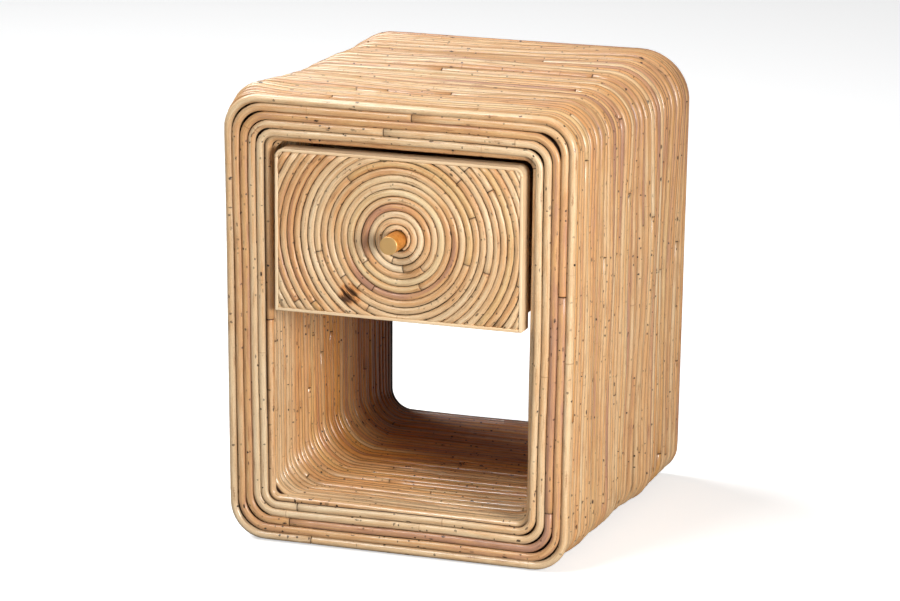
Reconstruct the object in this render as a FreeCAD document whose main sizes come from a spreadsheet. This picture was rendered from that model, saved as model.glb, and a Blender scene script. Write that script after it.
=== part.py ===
import FreeCAD, Part
import math
import os

import Sketcher

V = FreeCAD.Vector

# Side table with one drawer. Rattan canes are bent into hoops and stacked from front to back round a
# plywood and batten tube; smaller hoops line the tube, and five canes inside each other close its front
# and back edges. Frame: X to the right, Y to the back, Z up, origin under the middle of the whole table.
SIZES = {
    "body_width": 395.0,
    "body_height": 500.0,
    "body_depth": 408.0,
    "knob_reach": 28.0,          # how far the knob stands out of the drawer's face
    "glide_height": 2.5,
    "glide_radius": 11.0,
    "glide_inset_x": 70.0,
    "glide_hoop": 5.0,           # the glides sit under this proud hoop, counted from the front or back
    "cane_diameter": 9.0,
    "hoop_count": 45.0,
    "hoop_inset": 0.8,           # ordinary hoops lie this much inside the proud ones
    "waist_depth": 1.6,          # how far the hoops draw in behind the front edge
    "waist_place": 0.22,         # where the waist lies, as a share of the depth
    "waist_spread": 0.12,
    "back_flare": 8.0,           # how much wider the hoops stand at each side of the back
    "flare_place": 0.95,         # where the flare is widest, as a share of the depth
    "flare_spread": 0.45,
    "top_radius_front": 40.0,
    "top_radius_back": 58.0,
    "bottom_radius": 40.0,
    "rim_layers": 4.0,           # canes inside each other within the first and the last hoop
    "rim_pitch": 9.05,
    "rim_radius_step": 5.0,      # each rim cane bends this much tighter than the one outside it
    "rim_radius_step_back": 3.0,
    "lining_offset": 46.0,       # outside of the body to the lining's inner face
    "lining_lip": 5.5,           # how much further in the lining's front hoop stands
    "lip_spread": 12.0,          # the lip dies away over this length
    "lining_radius_end": 18.0,
    "lining_radius_middle": 50.0,
    "skin_gap": 11.8,            # outside of the body to the plywood
    "skin_thickness": 6.0,
    "batten_thickness": 11.5,
    "batten_width": 30.0,
    "core_end_gap": 9.3,         # the rim canes' room in front of the plywood
    "corner_post_radius": 43.0,
    "drawer_width": 282.0,
    "drawer_height": 180.0,
    "drawer_floor_height": 265.5,    # underside of the drawer's front above the floor
    "front_thickness": 24.0,
    "edging_thickness": 3.5,
    "front_corner_radius": 10.0,
    "inlay_cane_diameter": 7.6,
    "inlay_pitch": 7.8,
    "knob_radius": 10.0,
    "knob_play": 0.4,            # knob to the innermost cane
    "knob_chamfer": 0.7,
    "screw_radius": 2.0,
    "screw_play": 0.2,
    "screw_head_radius": 4.2,
    "screw_head_height": 2.4,
    "box_half_width": 132.0,
    "box_wall": 12.0,
    "box_length": 331.0,
    "box_floor_height": 275.0,
    "box_wall_height": 148.0,
    "box_bottom_thickness": 5.0,
    "box_bottom_rise": 7.0,      # underside of the side boards to the bottom board
    "box_bottom_groove": 6.0,
    "runner_groove_depth": 7.0,
    "runner_height": 18.0,
    "runner_play": 0.6,
    "runner_rise": 66.0,         # underside of the side boards to the runner
    "runner_length": 311.0,
    "runner_start": 9.0,         # back of the drawer's front to the runner
    "stop_play": 0.4,
    "stop_depth": 12.0,
    "stop_height": 30.0,
    "runner_outer_gap": 46.05,   # outside of the body to the runner's outer face
}


def make_sheet(doc):
    sheet = doc.addObject("Spreadsheet::Sheet", "Sizes")
    for row, (alias, number) in enumerate(SIZES.items(), start=1):
        sheet.set(f"A{row}", alias)
        sheet.set(f"B{row}", str(number))
        sheet.setAlias(f"B{row}", alias)
    doc.recompute()
    return sheet


def expand(words):
    """Writes plain size names as references to the sheet."""
    out = []
    for token in words.replace("(", " ( ").replace(")", " ) ").split():
        out.append(f"Sizes.{token}" if token in SIZES else token)
    return " ".join(out)


def value(doc, words):
    return float(doc.getObject("Sizes").evalExpression(expand(words)))


def bind(thing, **formulas):
    for name, words in formulas.items():
        thing.setExpression(name, expand(words))


def place(thing, x="0", y="0", z="0"):
    for axis, words in zip("xyz", (x, y, z)):
        thing.setExpression(f"Placement.Base.{axis}", expand(words))


FRONT = "( 0 - ( body_depth + knob_reach ) / 2 + knob_reach )"
BACK = "( ( body_depth + knob_reach ) / 2 )"
TOP = "( glide_height + body_height )"


# Shared makers

def make_body(doc, label):
    body = doc.addObject("PartDesign::Body", label)
    body.Label = label
    return body


def add_sketch(body, role, name):
    sketch = body.newObject("Sketcher::SketchObject", name)
    plane = next(f for f in body.Origin.OriginFeatures if f.Role == role)
    sketch.AttachmentSupport = [(plane, "")]
    sketch.MapMode = "FlatFace"
    return sketch


def pin(sketch, geometry, point, axis, words):
    """Holds one sketch point at a distance along X or Y that the sheet drives."""
    number = value(sketch.Document, words)
    if number == 0:
        guide = -2 if axis == "X" else -1
        sketch.addConstraint(Sketcher.Constraint("PointOnObject", geometry, point, guide))
        return
    made = sketch.addConstraint(Sketcher.Constraint(f"Distance{axis}", -1, 1, geometry, point, number))
    sketch.setExpression(f"Constraints[{made}]", expand(words))


def draw_polygon(sketch, corners):
    spots = [V(value(sketch.Document, x), value(sketch.Document, y), 0) for x, y in corners]
    count = len(spots)
    for i in range(count):
        sketch.addGeometry(Part.LineSegment(spots[i], spots[(i + 1) % count]))
    for i in range(count):
        sketch.addConstraint(Sketcher.Constraint("Coincident", i, 2, (i + 1) % count, 1))
    for i, (x, y) in enumerate(corners):
        pin(sketch, i, 1, "X", x)
        pin(sketch, i, 1, "Y", y)


def draw_rectangle(sketch, x, y, width, height):
    far_x = f"( {x} + {width} )"
    far_y = f"( {y} + {height} )"
    draw_polygon(sketch, [(x, y), (far_x, y), (far_x, far_y), (x, far_y)])


def draw_circle(sketch, x, y, radius):
    doc = sketch.Document
    centre = V(value(doc, x), value(doc, y), 0)
    made = sketch.addGeometry(Part.Circle(centre, V(0, 0, 1), value(doc, radius)))
    held = sketch.addConstraint(Sketcher.Constraint("Radius", made, value(doc, radius)))
    sketch.setExpression(f"Constraints[{held}]", expand(radius))
    pin(sketch, made, 3, "X", x)
    pin(sketch, made, 3, "Y", y)


def add_pad(body, sketch, length, towards_back=True):
    pad = body.newObject("PartDesign::Pad", f"{body.Name}_pad")
    pad.Profile = sketch
    pad.Reversed = towards_back
    bind(pad, Length=length)
    body.Document.recompute()
    return pad


def add_cut(body, sketch, depth, name, reversed_cut):
    """Cuts a pocket, and stops if it took nothing away."""
    before = body.Shape.Volume
    cut = body.newObject("PartDesign::Pocket", name)
    cut.Profile = sketch
    cut.Reversed = reversed_cut
    bind(cut, Length=depth)
    body.Document.recompute()
    if body.Shape.Volume >= before:
        raise RuntimeError(f"{name} cut nothing")


def revolve(body, sketch):
    turned = body.newObject("PartDesign::Revolution", f"{body.Name}_turned")
    turned.Profile = sketch
    turned.ReferenceAxis = (sketch, ["H_Axis"])
    turned.Angle = 360
    body.Document.recompute()


def make_box(doc, label, corner, size):
    box = doc.addObject("Part::Box", label)
    box.Label = label
    bind(box, Length=size[0], Width=size[1], Height=size[2])
    place(box, *corner)
    return box


def make_group(doc, label, members):
    group = doc.addObject("Part::Compound", label)
    group.Label = label
    group.Links = members
    return group


def make_feature(doc, label, shape):
    feature = doc.addObject("Part::Feature", label)
    feature.Label = label
    feature.Shape = shape
    return feature


# Cane rings

def ring_path(half_width, low, high, low_radius, high_radius, y):
    """A rounded rectangle in an upright plane, starting at the middle of its top."""
    pieces = []
    right = [(1, high, high_radius), (1, low, low_radius)]
    corners = right + [(-1, low, low_radius), (-1, high, high_radius)]
    last = V(0, y, high)
    for number, (side, level, radius) in enumerate(corners):
        inward = radius if level == low else -radius
        centre = V(side * (half_width - radius), y, level + inward)
        on_side = V(side * half_width, y, centre.z)
        on_level = V(centre.x, y, level)
        first, second = (on_level, on_side) if number % 2 == 0 else (on_side, on_level)
        bend = math.sqrt(0.5) * radius
        middle = V(centre.x + side * bend, y, centre.z - math.copysign(bend, inward))
        pieces.append(Part.LineSegment(last, first).toShape())
        pieces.append(Part.Arc(first, middle, second).toShape())
        last = second
    pieces.append(Part.LineSegment(last, V(0, y, high)).toShape())
    return Part.Wire(pieces)


def cane_ring(path, diameter, y, high):
    section = Part.Wire(Part.makeCircle(diameter / 2, V(0, y, high), V(1, 0, 0)))
    pipe = Part.BRepOffsetAPI.MakePipeShell(path)
    pipe.add(section)
    pipe.build()
    pipe.makeSolid()
    ring = pipe.shape()
    if not ring.isClosed() or ring.Volume < 0:
        ring = Part.Solid(Part.Shell(ring.Faces))
    return ring


def ring_round_body(sheet, y, offset, low_radius, high_radius, flare=0.0):
    """A cane whose outer side lies offset inside the body's outline; the radii are its outer side's."""
    half = sheet.cane_diameter / 2
    half_width = sheet.body_width / 2 + flare - offset - half
    low = sheet.glide_height + offset + half
    high = sheet.glide_height + sheet.body_height - offset - half
    path = ring_path(half_width, low, high, low_radius - half, high_radius - half, y)
    return cane_ring(path, sheet.cane_diameter, y, high)


def hoop_place(sheet, number):
    """The hoop's share of the depth and its middle plane."""
    share = number / (sheet.hoop_count - 1)
    front = -(sheet.body_depth + sheet.knob_reach) / 2 + sheet.knob_reach
    y = front + sheet.cane_diameter / 2 + share * (sheet.body_depth - sheet.cane_diameter)
    return share, y


def top_radius(sheet, share):
    return sheet.top_radius_front + share * (sheet.top_radius_back - sheet.top_radius_front)


def side_flare(sheet, share):
    """How much further out than the body's outline a hoop stands at each side."""
    return sheet.back_flare * math.exp(-((share - sheet.flare_place) / sheet.flare_spread) ** 2)


def outer_hoop(sheet, number, proud):
    share, y = hoop_place(sheet, number)
    waist = sheet.waist_depth * math.exp(-((share - sheet.waist_place) / sheet.waist_spread) ** 2)
    offset = 0.0 if proud else sheet.hoop_inset + waist
    low_radius = sheet.bottom_radius - offset
    high_radius = top_radius(sheet, share) - offset
    return ring_round_body(sheet, y, offset, low_radius, high_radius, side_flare(sheet, share))


def lining_hoop(sheet, number, proud):
    """A hoop whose inner face makes the wall of the space inside."""
    share, y = hoop_place(sheet, number)
    lip = sheet.lining_lip * math.exp(-((y - hoop_place(sheet, 1)[1]) / sheet.lip_spread) ** 2)
    inner = sheet.lining_offset + lip - (0.0 if proud else sheet.hoop_inset)
    swell = sheet.lining_radius_middle - sheet.lining_radius_end
    radius = sheet.lining_radius_end + swell * math.sin(math.pi * share) + sheet.cane_diameter
    return ring_round_body(sheet, y, inner - sheet.cane_diameter, radius, radius)


def rim_ring(sheet, layer, number):
    """The layer-th cane in from the outside of the front or back edge; the last one has no flare."""
    share, y = hoop_place(sheet, number)
    offset = layer * sheet.rim_pitch
    step_back = sheet.rim_radius_step_back
    tighter = layer * (sheet.rim_radius_step + share * (step_back - sheet.rim_radius_step))
    bottom = sheet.bottom_radius - tighter
    top = top_radius(sheet, share) - tighter
    flare = side_flare(sheet, share) * (1 - layer / sheet.rim_layers)
    return ring_round_body(sheet, y, offset, bottom, top, flare)


def make_hoops(doc, sheet):
    last = int(sheet.hoop_count) - 1
    proud = {0, int(sheet.glide_hoop), last * 3 // 8, last * 5 // 8, last - int(sheet.glide_hoop), last}
    ordinary = [outer_hoop(sheet, i, False) for i in range(last + 1) if i not in proud]
    standing = [outer_hoop(sheet, i, True) for i in sorted(proud)]
    make_feature(doc, "outer_cane_hoops", Part.makeCompound(ordinary))
    make_feature(doc, "proud_outer_hoops", Part.makeCompound(standing))

    inner_proud = {last // 5, last // 2, last * 4 // 5}
    ordinary = [lining_hoop(sheet, i, False) for i in range(1, last) if i not in inner_proud]
    standing = [lining_hoop(sheet, i, True) for i in sorted(inner_proud)]
    make_feature(doc, "lining_cane_hoops", Part.makeCompound(ordinary))
    make_feature(doc, "proud_lining_hoops", Part.makeCompound(standing))


def make_rims(doc, sheet):
    last = int(sheet.hoop_count) - 1
    layers = range(1, int(sheet.rim_layers) + 1)
    for layer in layers:
        make_feature(doc, f"front_rim_cane_{layer + 1}", rim_ring(sheet, layer, 0))
    back = [rim_ring(sheet, layer, last) for layer in layers]
    make_feature(doc, "back_rim_canes", Part.makeCompound(back))


# The tube of plywood, battens and corner posts

CORE_FRONT = f"( {FRONT} + core_end_gap )"
CORE_DEPTH = "( body_depth - 2 * core_end_gap )"
POST_REACH = "( skin_gap + corner_post_radius )"
CORE_DEEP = "( skin_gap + 2 * skin_thickness + batten_thickness )"
WALL_WIDE = f"( body_width - 2 * {POST_REACH} )"
WALL_HIGH = f"( body_height - 2 * {POST_REACH} )"


def wall_slab(doc, label, wall, gap, thickness, y, depth):
    """A board of one wall: gap is its distance in from the body's outside."""
    across = f"( 0 - {WALL_WIDE} / 2 )"
    upward = f"( glide_height + {POST_REACH} )"
    flat = (WALL_WIDE, depth, thickness)
    upright = (thickness, depth, WALL_HIGH)
    corner, size = {
        "top": ((across, y, f"{TOP} - {gap} - {thickness}"), flat),
        "bottom": ((across, y, f"glide_height + {gap}"), flat),
        "left": ((f"0 - body_width / 2 + {gap}", y, upward), upright),
        "right": ((f"body_width / 2 - {gap} - {thickness}", y, upward), upright),
    }[wall]
    return make_box(doc, label, corner, size)


def make_skins(doc):
    inner_gap = "( skin_gap + skin_thickness + batten_thickness )"
    for wall in ("top", "bottom", "left", "right"):
        wall_slab(doc, f"outer_skin_{wall}", wall, "skin_gap", "skin_thickness", CORE_FRONT, CORE_DEPTH)
        wall_slab(doc, f"inner_skin_{wall}", wall, inner_gap, "skin_thickness", CORE_FRONT, CORE_DEPTH)


def make_battens(doc):
    places = {
        "front": CORE_FRONT,
        "middle": f"( {CORE_FRONT} + {CORE_DEPTH} / 2 - batten_width / 2 )",
        "back": f"( {CORE_FRONT} + {CORE_DEPTH} - batten_width )",
    }
    gap = "( skin_gap + skin_thickness )"
    for name, y in places.items():
        members = [
            wall_slab(doc, f"{name}_batten_{wall}", wall, gap, "batten_thickness", y, "batten_width")
            for wall in ("top", "bottom", "left", "right")
        ]
        make_group(doc, f"{name}_frame_battens", members)


def make_corner_post(doc, label, side, upper):
    """A post from front to back: round outside, hollowed to an L where the lining passes."""
    rod = doc.addObject("Part::Cylinder", f"{label}_rod")
    rod.Angle = 90
    bind(rod, Radius="corner_post_radius", Height=CORE_DEPTH)
    x = f"{side} * ( body_width / 2 - {POST_REACH} )"
    z = f"{TOP} - {POST_REACH}" if upper else f"glide_height + {POST_REACH}"
    start = {(1, True): 270, (-1, True): 180, (-1, False): 90, (1, False): 0}[(side, upper)]
    turn = FreeCAD.Rotation(V(1, 0, 0), -90).multiply(FreeCAD.Rotation(V(0, 0, 1), start))
    rod.Placement = FreeCAD.Placement(V(0, 0, 0), turn)
    place(rod, x, CORE_FRONT, z)

    room = f"( {POST_REACH} - {CORE_DEEP} )"
    corner_x = x if side > 0 else f"{x} - {room}"
    corner_z = z if upper else f"{z} - {room}"
    hollow = make_box(doc, f"{label}_hollow", (corner_x, CORE_FRONT, corner_z), (room, CORE_DEPTH, room))
    post = doc.addObject("Part::Cut", label)
    post.Label = label
    post.Base = rod
    post.Tool = hollow


def make_posts(doc):
    for side, word in ((-1, "left"), (1, "right")):
        make_corner_post(doc, f"upper_{word}_corner_post", side, True)
        make_corner_post(doc, f"lower_{word}_corner_post", side, False)


def make_glides(doc):
    members = []
    inset = "( cane_diameter / 2 + glide_hoop * ( body_depth - cane_diameter ) / ( hoop_count - 1 ) )"
    for side in (-1, 1):
        for y in (f"{FRONT} + {inset}", f"{BACK} - {inset}"):
            disc = doc.addObject("Part::Cylinder", "glide_disc")
            bind(disc, Radius="glide_radius", Height="glide_height")
            place(disc, f"{side} * ( body_width / 2 - glide_inset_x )", y, "0")
            members.append(disc)
    make_group(doc, "floor_glides", members)


# The drawer

FRONT_BACK = f"( {FRONT} + front_thickness )"
SIDE_TOP = "( box_floor_height + box_wall_height )"
DRAWER_MIDDLE = "( drawer_floor_height + drawer_height / 2 )"


def long_edges_at_top(shape):
    """Names of the two upper edges that run from front to back."""
    top = shape.BoundBox.ZMax - 1e-4
    names = []
    for number, edge in enumerate(shape.Edges, start=1):
        ends = [point.Point for point in edge.Vertexes]
        if len(ends) == 2 and all(end.z > top for end in ends) and abs(ends[0].y - ends[1].y) > 1:
            names.append(f"Edge{number}")
    return names


def make_front_panel(doc):
    body = make_body(doc, "drawer_front_panel")
    sketch = add_sketch(body, "XZ_Plane", "front_panel_outline")
    width = "( drawer_width - 2 * edging_thickness )"
    height = "( drawer_height - 2 * edging_thickness )"
    draw_rectangle(sketch, "0", "0", width, height)
    board = add_pad(body, sketch, "front_thickness - inlay_cane_diameter")

    rounding = body.newObject("PartDesign::Fillet", "front_panel_corners")
    rounding.Base = (board, long_edges_at_top(board.Shape))
    bind(rounding, Radius="front_corner_radius - edging_thickness")
    doc.recompute()

    centre = add_sketch(body, "XZ_Plane", "knob_screw_centre")
    draw_circle(centre, f"{width} / 2", f"{height} / 2", "screw_radius + screw_play")
    add_cut(body, centre, "front_thickness", "knob_screw_hole", False)
    face = f"{FRONT} + inlay_cane_diameter"
    place(body, f"0 - {width} / 2", face, "drawer_floor_height + edging_thickness")


def rounded_block(doc, label, inset):
    """A block as deep as the drawer's front, inset from its outline, with its two top corners rounded."""
    corner = (f"{inset} - drawer_width / 2", FRONT, f"drawer_floor_height + {inset}")
    size = (f"drawer_width - 2 * {inset}", "front_thickness", f"drawer_height - 2 * {inset}")
    block = make_box(doc, f"{label}_block", corner, size)
    doc.recompute()
    rounded = doc.addObject("Part::Fillet", label)
    rounded.Base = block
    radius = value(doc, f"front_corner_radius - {inset}")
    numbers = [int(name[4:]) for name in long_edges_at_top(block.Shape)]
    rounded.Edges = [(number, radius, radius) for number in numbers]
    return rounded


def make_edging(doc):
    """Four strips round the drawer's front; the top one bends down at both ends."""
    frame = doc.addObject("Part::Cut", "edging_frame")
    frame.Base = rounded_block(doc, "edging_outer", "0")
    frame.Tool = rounded_block(doc, "edging_inner", "edging_thickness")

    left = "( 0 - drawer_width / 2 )"
    right = "( drawer_width / 2 - edging_thickness )"
    low = "drawer_floor_height"
    high = "( drawer_floor_height + drawer_height - front_corner_radius )"
    inside = "( drawer_width - 2 * edging_thickness )"
    upright = ("edging_thickness", f"{high} - drawer_floor_height")
    spans = {
        "top": ((left, high), ("drawer_width", "front_corner_radius")),
        "bottom": ((f"{left} + edging_thickness", low), (inside, "edging_thickness")),
        "left": ((left, low), upright),
        "right": ((right, low), upright),
    }
    for word, ((x, z), (width, height)) in spans.items():
        label = f"front_edging_{word}"
        window = make_box(doc, f"{label}_window", (x, FRONT, z), (width, "front_thickness", height))
        strip = doc.addObject("Part::Common", label)
        strip.Label = label
        strip.Base = frame
        strip.Tool = window


def spiral_half_turn(sheet, number, y, middle):
    """Half a turn of cane; the halves have two centres half a pitch apart, so they join in a spiral."""
    upper = number % 2 == 0
    shift = 0.0 if upper else sheet.inlay_pitch / 2
    inside = sheet.knob_radius + sheet.knob_play
    radius = inside + (sheet.inlay_cane_diameter + (number + 1) * sheet.inlay_pitch) / 2
    centre = V(shift, y, middle)
    turn = Part.makeTorus(radius, sheet.inlay_cane_diameter / 2, centre, V(0, 1, 0))
    reach = radius + sheet.inlay_pitch
    low = middle if upper else middle - reach
    corner = V(shift - reach, y - sheet.inlay_pitch, low)
    return turn.common(Part.makeBox(2 * reach, 2 * sheet.inlay_pitch, reach, corner))


def make_inlay(doc, sheet):
    """A cane wound outwards from the knob and cut off square at the edging."""
    front = value(doc, FRONT)
    y = front + sheet.inlay_cane_diameter / 2
    middle = value(doc, DRAWER_MIDDLE)
    width = sheet.drawer_width - 2 * sheet.edging_thickness
    height = sheet.drawer_height - 2 * sheet.edging_thickness
    corner = V(-width / 2, front, middle - height / 2)
    field = Part.makeBox(width, sheet.inlay_cane_diameter, height, corner)
    corners = [field.Edges[int(name[4:]) - 1] for name in long_edges_at_top(field)]
    field = field.makeFillet(sheet.front_corner_radius - sheet.edging_thickness, corners)
    corner_distance = math.hypot(width, height) / 2
    count = int(2 * corner_distance / sheet.inlay_pitch)
    pieces = []
    for number in range(count):
        piece = spiral_half_turn(sheet, number, y, middle)
        if number * sheet.inlay_pitch / 2 + sheet.inlay_pitch * 3 > height / 2:
            piece = piece.common(field)
        pieces.extend(solid for solid in piece.Solids if solid.Volume > sheet.inlay_pitch)
    make_feature(doc, "spiral_cane_inlay", Part.makeCompound(pieces))


def make_knob(doc):
    body = make_body(doc, "knob")
    sketch = add_sketch(body, "XY_Plane", "knob_half_profile")
    length = "( knob_reach + inlay_cane_diameter )"
    draw_polygon(sketch, [
        ("0", "0"),
        (length, "0"),
        (length, "knob_radius - knob_chamfer"),
        (f"{length} - knob_chamfer", "knob_radius"),
        ("0", "knob_radius"),
    ])
    revolve(body, sketch)
    hole = add_sketch(body, "YZ_Plane", "knob_thread_core")
    draw_circle(hole, "0", "0", "screw_radius")
    add_cut(body, hole, f"{length} / 2", "knob_thread", True)
    body.Placement = FreeCAD.Placement(V(0, 0, 0), FreeCAD.Rotation(V(0, 0, 1), -90))
    place(body, "0", f"{FRONT} + inlay_cane_diameter", DRAWER_MIDDLE)


def make_knob_screw(doc):
    body = make_body(doc, "knob_screw")
    sketch = add_sketch(body, "XY_Plane", "knob_screw_half_profile")
    length = "( front_thickness - inlay_cane_diameter + ( knob_reach + inlay_cane_diameter ) / 2 - 1 )"
    draw_polygon(sketch, [
        ("0", "0"),
        (f"screw_head_height + {length}", "0"),
        (f"screw_head_height + {length}", "screw_radius"),
        ("screw_head_height", "screw_radius"),
        ("screw_head_height", "screw_head_radius"),
        ("0", "screw_head_radius"),
    ])
    revolve(body, sketch)
    body.Placement = FreeCAD.Placement(V(0, 0, 0), FreeCAD.Rotation(V(0, 0, 1), -90))
    place(body, "0", f"{FRONT_BACK} + screw_head_height", DRAWER_MIDDLE)


def make_drawer_side(doc, label, side):
    """A side board with a groove outside for the runner and one inside for the bottom board."""
    body = make_body(doc, label)
    board = add_sketch(body, "YZ_Plane", f"{label}_outline")
    draw_rectangle(board, "0", "0", "box_length", "box_wall_height")
    add_pad(body, board, "box_wall", towards_back=False)

    track = add_sketch(body, "XZ_Plane", f"{label}_runner_track")
    outer_x = "0" if side < 0 else "( box_wall - runner_groove_depth )"
    groove_high = "( runner_height + 2 * runner_play )"
    draw_rectangle(track, outer_x, "runner_rise", "runner_groove_depth", groove_high)
    add_cut(body, track, "box_length", f"{label}_runner_groove", False)

    seat = add_sketch(body, "XZ_Plane", f"{label}_bottom_seat")
    inner_x = "( box_wall - box_bottom_groove )" if side < 0 else "0"
    draw_rectangle(seat, inner_x, "box_bottom_rise", "box_bottom_groove", "box_bottom_thickness")
    add_cut(body, seat, "box_length", f"{label}_bottom_groove", False)

    x = "0 - box_half_width" if side < 0 else "box_half_width - box_wall"
    place(body, x, FRONT_BACK, "box_floor_height")


def make_drawer_box(doc):
    make_drawer_side(doc, "drawer_side_left", -1)
    make_drawer_side(doc, "drawer_side_right", 1)
    inside = "( 2 * ( box_half_width - box_wall ) )"
    bottom_wide = f"( {inside} + 2 * box_bottom_groove )"
    floor = "( box_floor_height + box_bottom_rise )"
    make_box(doc, "drawer_bottom", (f"0 - {bottom_wide} / 2", FRONT_BACK, floor),
             (bottom_wide, "box_length", "box_bottom_thickness"))
    back_low = f"( {floor} + box_bottom_thickness )"
    back_face = f"( {FRONT_BACK} + box_length - box_wall )"
    make_box(doc, "drawer_back", (f"0 - {inside} / 2", back_face, back_low),
             (inside, "box_wall", f"{SIDE_TOP} - {back_low}"))


def make_runners(doc):
    """Hardwood strips on the lining that the drawer's side boards slide along."""
    outer = "( body_width / 2 - runner_outer_gap )"
    inner = "( box_half_width - runner_groove_depth + runner_play )"
    width = f"( {outer} - {inner} )"
    y = f"( {FRONT_BACK} + runner_start )"
    z = "( box_floor_height + runner_rise + runner_play )"
    size = (width, "runner_length", "runner_height")
    make_box(doc, "runner_strip_left", (f"0 - {outer}", y, z), size)
    make_box(doc, "runner_strip_right", (inner, y, z), size)


def make_stops(doc):
    """Blocks on the lining that the drawer's side boards meet when it is shut."""
    outer = "( body_width / 2 - runner_outer_gap )"
    inner = "( box_half_width - box_wall )"
    y = f"( {FRONT_BACK} + box_length + stop_play )"
    z = "( box_floor_height + runner_rise + runner_height / 2 - stop_height / 2 )"
    size = (f"( {outer} - {inner} )", "stop_depth", "stop_height")
    left = make_box(doc, "stop_block_left", (f"0 - {outer}", y, z), size)
    right = make_box(doc, "stop_block_right", (inner, y, z), size)
    make_group(doc, "drawer_stop_blocks", [left, right])


# Putting it together

NODES = [
    "outer_cane_hoops", "proud_outer_hoops", "lining_cane_hoops", "proud_lining_hoops",
    "front_rim_cane_2", "front_rim_cane_3", "front_rim_cane_4", "front_rim_cane_5", "back_rim_canes",
    "outer_skin_top", "outer_skin_bottom", "outer_skin_left", "outer_skin_right",
    "inner_skin_top", "inner_skin_bottom", "inner_skin_left", "inner_skin_right",
    "front_frame_battens", "middle_frame_battens", "back_frame_battens",
    "upper_left_corner_post", "upper_right_corner_post",
    "lower_left_corner_post", "lower_right_corner_post",
    "floor_glides", "runner_strip_left", "runner_strip_right", "drawer_stop_blocks",
    "drawer_front_panel",
    "front_edging_top", "front_edging_bottom", "front_edging_left", "front_edging_right",
    "spiral_cane_inlay", "knob", "knob_screw",
    "drawer_side_left", "drawer_side_right", "drawer_back", "drawer_bottom",
]


def make_table(doc):
    sheet = make_sheet(doc)
    make_hoops(doc, sheet)
    make_rims(doc, sheet)
    make_skins(doc)
    make_battens(doc)
    make_posts(doc)
    make_glides(doc)
    make_runners(doc)
    make_stops(doc)
    make_front_panel(doc)
    make_edging(doc)
    make_inlay(doc, sheet)
    make_knob(doc)
    make_knob_screw(doc)
    make_drawer_box(doc)
    doc.recompute()


def check(doc):
    for thing in doc.Objects:
        if "Invalid" in thing.State or "Error" in thing.State:
            raise RuntimeError(f"{thing.Label} failed: {thing.State}")
    for node in NODES:
        shape = doc.getObjectsByLabel(node)[0].Shape
        if shape.isNull() or not shape.isValid() or not shape.Solids:
            raise RuntimeError(f"{node} has no sound shape")


def write(doc):
    os.makedirs("parts", exist_ok=True)
    for node in NODES:
        doc.getObjectsByLabel(node)[0].Shape.exportStep(f"parts/{node}.step")


def main():
    doc = FreeCAD.newDocument("side_table_with_drawer")
    make_table(doc)
    check(doc)
    write(doc)
    print(len(NODES), "nodes written")


main()
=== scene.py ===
import math
import random

import bmesh
import bpy
from mathutils import Matrix, Vector, noise


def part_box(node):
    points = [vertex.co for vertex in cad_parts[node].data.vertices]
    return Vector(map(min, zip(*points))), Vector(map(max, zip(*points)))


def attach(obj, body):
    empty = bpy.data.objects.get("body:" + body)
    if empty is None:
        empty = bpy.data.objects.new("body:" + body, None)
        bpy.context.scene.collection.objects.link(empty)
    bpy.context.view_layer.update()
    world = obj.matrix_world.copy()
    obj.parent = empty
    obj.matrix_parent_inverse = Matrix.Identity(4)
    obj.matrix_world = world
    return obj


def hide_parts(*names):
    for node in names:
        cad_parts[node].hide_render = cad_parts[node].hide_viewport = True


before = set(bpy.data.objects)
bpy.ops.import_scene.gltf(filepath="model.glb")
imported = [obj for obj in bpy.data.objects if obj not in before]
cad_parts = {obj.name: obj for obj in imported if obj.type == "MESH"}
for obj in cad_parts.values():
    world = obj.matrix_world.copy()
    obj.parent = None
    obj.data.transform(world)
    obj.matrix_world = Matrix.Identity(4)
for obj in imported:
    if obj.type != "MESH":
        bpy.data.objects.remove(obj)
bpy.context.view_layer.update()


# the table's outline, read from the frame
bodyLow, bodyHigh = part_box("proud_outer_hoops")
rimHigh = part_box("front_rim_cane_2")[1]
panelLow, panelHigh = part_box("drawer_front_panel")
table = {
    "rimPitch": 0.00905,  # from one rim cane to the next
    "low": bodyLow.z, "high": bodyHigh.z, "front": bodyLow.y, "back": bodyHigh.y,
    "cane": 0.009,
    "lean": 0.0133,  # the sides lean out by this share over half the height
    "flarePlace": 0.95, "flareSpread": 0.45,  # where along the depth the sides stand widest
    "calm": 9,  # hoops grow uneven over this fraction of the depth from each end
}
table["half"] = rimHigh.x + table["rimPitch"]
table["flare"] = bodyHigh.x - table["half"]


def share(y):
    return (y - table["front"]) / (table["back"] - table["front"])


def bell(distance, reach):
    return math.exp(-(distance / reach) ** 2)


def ripple(x, y, z):
    return noise.noise(Vector((x, y, z)))


def flareAt(y):
    return table["flare"] * bell(share(y) - table["flarePlace"], table["flareSpread"])


def paint(red, green, blue):
    # screen colour, 0 to 255, to the linear colour that shaders use
    def straight(channel):
        c = channel / 255
        return c / 12.92 if c <= 0.04045 else ((c + 0.055) / 1.055) ** 2.4
    return (straight(red), straight(green), straight(blue), 1.0)


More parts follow.
